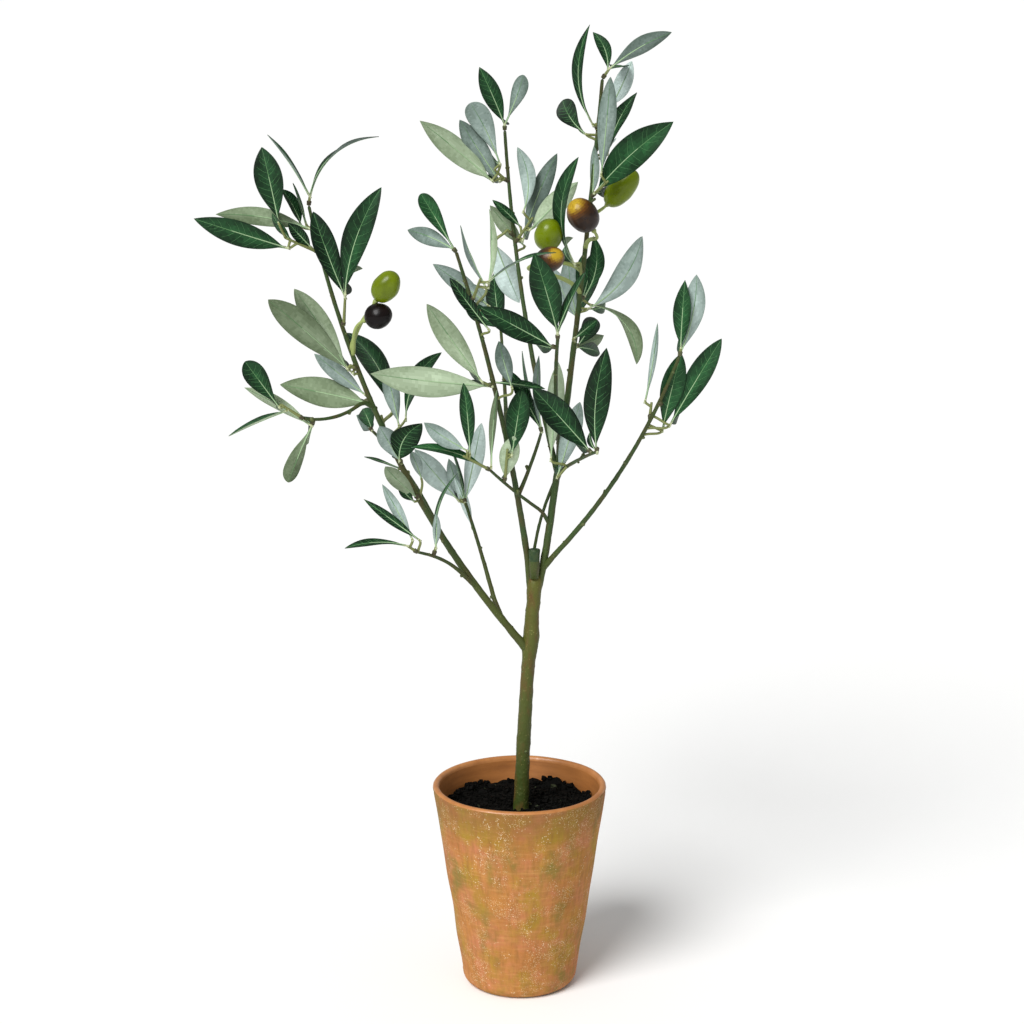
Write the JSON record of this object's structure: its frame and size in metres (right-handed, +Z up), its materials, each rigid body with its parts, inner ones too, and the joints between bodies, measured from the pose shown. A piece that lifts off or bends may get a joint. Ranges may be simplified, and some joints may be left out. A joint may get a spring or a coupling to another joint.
{
  "type": "artificial potted olive tree",
  "caption": "Small artificial olive tree with a forked stem, loose sprays of narrow leaves and a few olives, standing in a plain tapered terracotta pot.",
  "frame": {"origin": "middle of the pot's flat underside", "axes": "+Z up along the pot's axis, +X to the right and -Y to the front, the side the crown is shown from"},
  "size_m": [0.3028, 0.2424, 0.6102],
  "materials": {
    "terracotta": "matt fired clay with olive and pink mottling and fine pale specks",
    "fill": "rough dark grit",
    "bark": "olive green moulded bark, matt",
    "cut_cap": "dark green smooth plastic",
    "leaf_top": "dark green printed cloth with pale veins",
    "leaf_underside": "pale grey green brushed cloth",
    "leaf_vein": "pale green print",
    "stalk": "cream moulded plastic",
    "twig": "brown green moulded plastic, matt",
    "olive": "smooth moulded fruit, satin gloss"
  },
  "bodies": {
    "root": {"pot": "terracotta", "fill": "fill", "trunk": "bark", "leader": "bark", "centre_left_bough": "bark", "left_bough": "bark", "left_inner_bough": "bark", "low_left_twig": "bark", "left_back_twig": "bark", "far_left_twig": "bark", "right_bough": "bark", "cross_twig": "bark", "back_bough": "bark", "right_front_twig": "bark", "centre_back_bough": "bark", "front_bough": "bark", "inner_twig": "bark", "back_left_bough": "bark", "fork_stub": "cut_cap", "spray_left_top": "leaf_top", "spray_left_outer": "leaf_top", "spray_left_fork": "leaf_top", "spray_left_mid_high": "leaf_top", "spray_left_mid_low": "leaf_top", "spray_left_tuft": "leaf_top", "spray_bend_high": "leaf_top", "spray_bend_low": "leaf_top", "spray_far_left_tip": "leaf_top", "spray_far_left_drop": "leaf_top", "spray_low_left": "leaf_top", "spray_low_left_upright": "leaf_top", "spray_left_back": "leaf_top", "spray_inner_left": "leaf_top", "spray_cross_left": "leaf_top", "spray_cross_upright": "leaf_top", "spray_centre_left_low": "leaf_top", "spray_centre_left_mid": "leaf_top", "spray_centre_left_tip": "leaf_top", "spray_centre_left_front": "leaf_top", "spray_upper_back_side": "leaf_top", "spray_upper_back_right": "leaf_top", "spray_upper_back_left": "leaf_top", "spray_upper_back_tip": "leaf_top", "spray_leader_left": "leaf_top", "spray_leader_big": "leaf_top", "spray_leader_high_right": "leaf_top", "spray_leader_high_left": "leaf_top", "spray_leader_tip": "leaf_top", "spray_leader_right": "leaf_top", "spray_front_left": "leaf_top", "spray_front_up": "leaf_top", "spray_right_front_up": "leaf_top", "spray_right_front_left": "leaf_top", "spray_inner_tuft": "leaf_top", "spray_right_tip": "leaf_top", "spray_right_low": "leaf_top", "spray_right_inner": "leaf_top", "spray_back_top": "leaf_top", "spray_back_right": "leaf_top", "spray_back_left": "leaf_top"}
  },
  "joints": []
}
